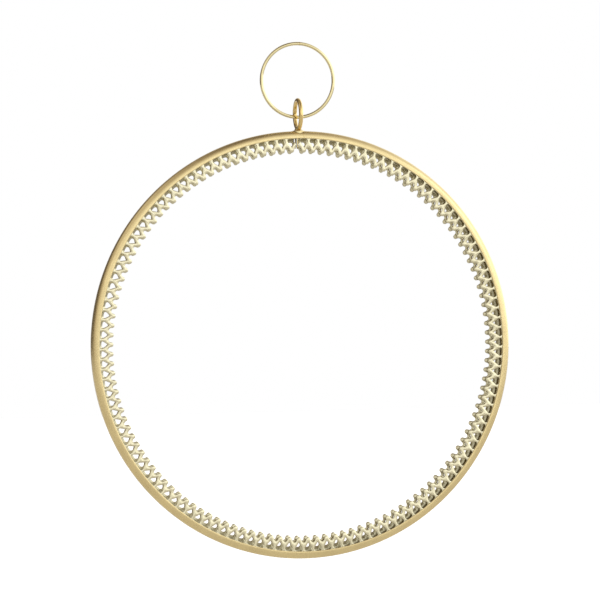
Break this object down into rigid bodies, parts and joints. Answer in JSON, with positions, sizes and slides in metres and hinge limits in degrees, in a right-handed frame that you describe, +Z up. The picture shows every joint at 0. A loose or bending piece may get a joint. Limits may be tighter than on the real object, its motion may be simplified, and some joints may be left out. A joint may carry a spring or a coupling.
{
  "type": "wreath frame",
  "caption": "Round brass wreath hoop, a U channel edged front and back with pierced scalloped lace, with a soldered wire eye and a loose hanging ring.",
  "frame": {"origin": "the hang point: inside top of the hanging ring's wire, where a hook bears", "axes": "+Z up along the hanging line, +Y through the hoop from front to back, +X to the right seen from the front"},
  "size_m": [0.2, 0.0154, 0.2416],
  "materials": {
    "band_brass": "satin",
    "lace_brass": "satin",
    "eye_brass": "polished",
    "ring_brass": "polished",
    "solder": "satin"
  },
  "bodies": {
    "hanger": {"hanging_ring": "ring_brass", "ring_solder": "solder"},
    "hoop": {"rim_band": "band_brass", "band_seam_solder": "solder", "front_lace": "lace_brass", "front_lace_solder": "solder", "back_lace": "lace_brass", "back_lace_solder": "solder", "hanging_eye": "eye_brass", "eye_solder": "solder"}
  },
  "joints": [
    {"name": "link_swing", "type": "hinge", "parent": "hanger", "child": "hoop", "pos_m": [0, 0, -0.0336], "axis": [1, 0, 0], "range_deg": [-140, 140]}
  ]
}
